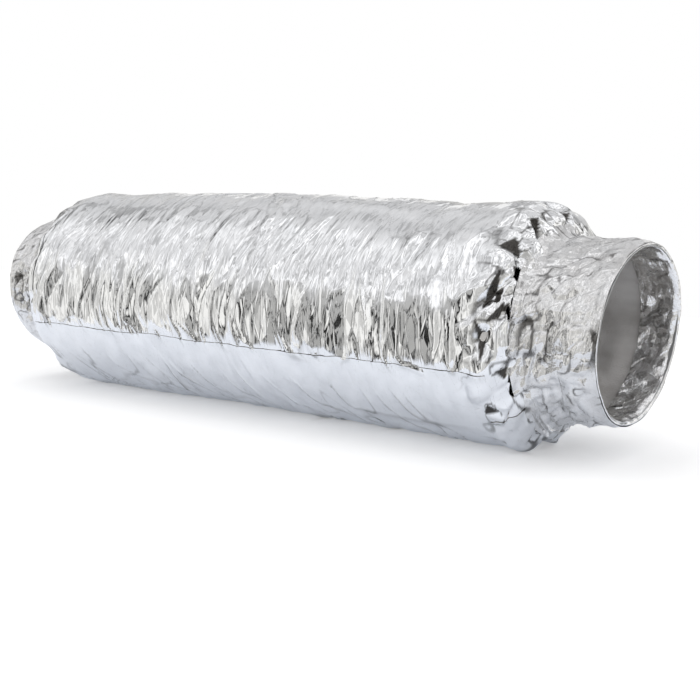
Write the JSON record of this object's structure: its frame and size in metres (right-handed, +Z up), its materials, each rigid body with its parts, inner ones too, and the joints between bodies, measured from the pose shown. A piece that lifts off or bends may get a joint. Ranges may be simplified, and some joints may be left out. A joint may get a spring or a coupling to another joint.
{
  "type": "flexible duct silencer",
  "caption": "Flexible duct silencer: foil-jacketed, wool-lined round sleeve with a rigid spigot collar at each end, bendable in the middle.",
  "frame": {"origin": "centre of the bounding box in X and Y, on the surface that the soft body rests on", "axes": "+X along the duct axis towards the near collar, +Z up, -Y towards the lap seam's side"},
  "size_m": [0.6072, 0.1752, 0.1733],
  "materials": {
    "jacket_foil": "bright crumpled aluminium laminate foil",
    "foil_tape": "bright self-adhesive foil tape, finely crinkled",
    "galvanised_steel": "galvanised sheet",
    "band_steel": "plain steel strapping",
    "spring_wire": "drawn spring wire",
    "nonwoven": "soft white spunbond non-woven",
    "scrim": "open glass-fibre scrim",
    "acoustic_wool": "soft polyester acoustic wool"
  },
  "bodies": {
    "sleeve": {"liner_sleeve": "nonwoven", "wire_helix": "spring_wire", "core_cover": "scrim", "acoustic_wool": "acoustic_wool", "jacket": "jacket_foil", "jacket_seam_tape": "foil_tape", "far_spigot": "galvanised_steel", "far_core_tape": "foil_tape", "far_jacket_cuff": "jacket_foil", "far_band": "band_steel", "far_collar_wrap": "foil_tape", "far_rim_tape": "foil_tape", "far_shoulder_tape_1": "foil_tape", "far_shoulder_tape_2": "foil_tape", "far_shoulder_tape_3": "foil_tape"},
    "near_collar": {"near_spigot": "galvanised_steel", "near_core_tape": "foil_tape", "near_jacket_cuff": "jacket_foil", "near_band": "band_steel", "near_collar_wrap": "foil_tape", "near_rim_tape": "foil_tape", "near_shoulder_tape_1": "foil_tape", "near_shoulder_tape_2": "foil_tape", "near_shoulder_tape_3": "foil_tape"}
  },
  "joints": [
    {"name": "body_bend", "type": "hinge", "parent": "sleeve", "child": "near_collar", "pos_m": [0, 0, 0.0857], "axis": [0, 0, 1], "range_deg": [-45, 45], "deforming": ["liner_sleeve", "wire_helix", "core_cover", "acoustic_wool", "jacket", "jacket_seam_tape"]}
  ]
}
